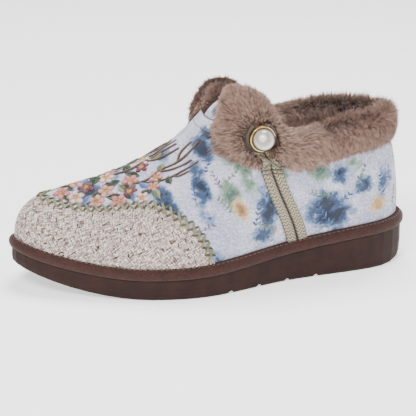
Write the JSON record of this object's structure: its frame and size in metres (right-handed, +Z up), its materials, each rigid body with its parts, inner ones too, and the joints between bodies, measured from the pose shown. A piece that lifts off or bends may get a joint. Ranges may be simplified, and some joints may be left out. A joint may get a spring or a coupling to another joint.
{
  "type": "embroidered slipper",
  "caption": "Left slipper with a platform sole, printed cloth upper, linen toe cap, plush collar and a ribbon strap looped round a pearl button.",
  "frame": {"origin": "on the floor plane, under the middle of the bounding box", "axes": "-X towards the toe, +X towards the heel, -Y the foot's outer side with the strap and the pearl, +Z up"},
  "size_m": [0.258, 0.1, 0.1246],
  "materials": {
    "outsole_rubber": "matte moulded foam rubber",
    "midsole_suede": "napped suede",
    "insole_plush": "short plush",
    "upper_print": "matte printed cotton",
    "toe_cap_linen": "slubby linen",
    "tongue_print": "matte printed cotton",
    "collar_plush": "deep plush",
    "strap_ribbon": "herringbone ribbon",
    "bezel_metal": "polished gold colour",
    "pearl_coat": "glossy pearl coat"
  },
  "bodies": {
    "root": {"outsole": "outsole_rubber", "midsole": "midsole_suede", "insole": "insole_plush", "upper": "upper_print", "toe_cap": "toe_cap_linen", "tongue": "tongue_print", "fur_collar": "collar_plush", "strap": "strap_ribbon", "button_bezel": "bezel_metal", "pearl": "pearl_coat"}
  },
  "joints": []
}
